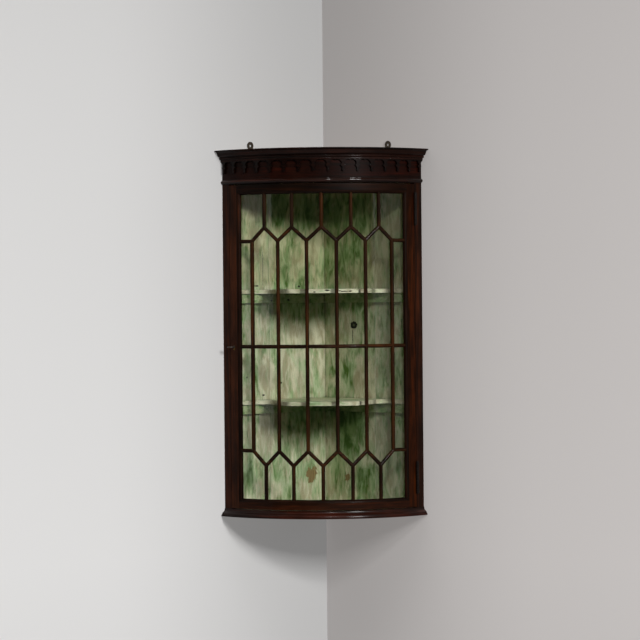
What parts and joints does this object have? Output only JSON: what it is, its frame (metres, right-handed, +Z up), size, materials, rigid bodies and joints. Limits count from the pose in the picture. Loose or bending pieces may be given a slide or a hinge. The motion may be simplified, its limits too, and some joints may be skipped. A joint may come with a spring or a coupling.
{
  "type": "bow-front hanging corner cabinet",
  "caption": "Bow-front hanging corner cupboard with a glazed astragal door on pinned butt hinges, shelves, moulded cornice, lock with turning key and hanging plates.",
  "frame": {"origin": "centre of the bounding box in plan, on the floor plane under the base", "axes": "+X to the right of someone who faces the door, -Y to the front out of the bow, +Y back into the room corner, +Z up"},
  "size_m": [0.6256, 0.4604, 1.101],
  "materials": {
    "case_mahogany": "polished",
    "door_mahogany": "polished",
    "glazing_mahogany": "polished",
    "softwood": "painted, worn",
    "glass": "clear",
    "hinge_iron": "aged",
    "hanging_iron": "aged",
    "lock_steel": "aged",
    "key_steel": "worn",
    "brass": "aged"
  },
  "bodies": {
    "cabinet": {"back_plank_left_inner": "softwood", "back_plank_left_outer": "softwood", "back_plank_right_inner": "softwood", "back_plank_right_outer": "softwood", "base_moulding": "case_mahogany", "bead_moulding": "case_mahogany", "bottom_board": "softwood", "case_stile_left": "case_mahogany", "case_stile_right": "case_mahogany", "cornice_moulding": "case_mahogany", "door_stop": "case_mahogany", "frieze_arcade": "case_mahogany", "frieze_rail": "case_mahogany", "glue_blocks": "softwood", "hanging_plate_left": "hanging_iron", "hanging_plate_right": "hanging_iron", "hinge_leaf_case_lower": "hinge_iron", "hinge_leaf_case_upper": "hinge_iron", "hinge_pin_lower": "hinge_iron", "hinge_pin_upper": "hinge_iron", "lower_shelf": "softwood", "lower_shelf_cleats": "softwood", "strike_plate": "lock_steel", "top_board": "softwood", "upper_shelf": "softwood", "upper_shelf_cleats": "softwood"},
    "door": {"door_rail_bottom": "door_mahogany", "door_rail_top": "door_mahogany", "door_stile_hinge": "door_mahogany", "door_stile_lock": "door_mahogany", "end_bars": "glazing_mahogany", "glass_lower": "glass", "glass_middle_lower": "glass", "glass_middle_upper": "glass", "glass_upper": "glass", "hinge_leaf_door_lower": "hinge_iron", "hinge_leaf_door_upper": "hinge_iron", "keyhole_liner": "brass", "lock_case": "lock_steel", "lock_cover": "lock_steel", "middle_rail_bar": "glazing_mahogany", "sight_moulding_bottom": "glazing_mahogany", "sight_moulding_left": "glazing_mahogany", "sight_moulding_right": "glazing_mahogany", "sight_moulding_top": "glazing_mahogany", "upright_bars_lower": "glazing_mahogany", "upright_bars_middle": "glazing_mahogany", "upright_bars_upper": "glazing_mahogany", "zigzag_bars_lower": "glazing_mahogany", "zigzag_bars_upper": "glazing_mahogany"},
    "lock_bolt": {"lock_bolt": "key_steel"},
    "key": {"key": "key_steel"}
  },
  "joints": [
    {"name": "door_hinge", "type": "hinge", "parent": "cabinet", "child": "door", "pos_m": [0.27361, -0.08805, 0.5], "axis": [0, 0, 1], "range_deg": [0, 105]},
    {"name": "key_turn", "type": "hinge", "parent": "door", "child": "key", "pos_m": [-0.25881, -0.09706, 0.496], "axis": [-0.7198, -0.6942, 0], "range_deg": [0, 180]},
    {"name": "bolt_throw", "type": "slide", "parent": "door", "child": "lock_bolt", "axis": [-0.6942, 0.7198, 0], "range_m": [0, 0.006]}
  ],
  "couplings": [
    {"joint": "key_turn", "follows": "bolt_throw", "rad_per_m": 523.6}
  ]
}
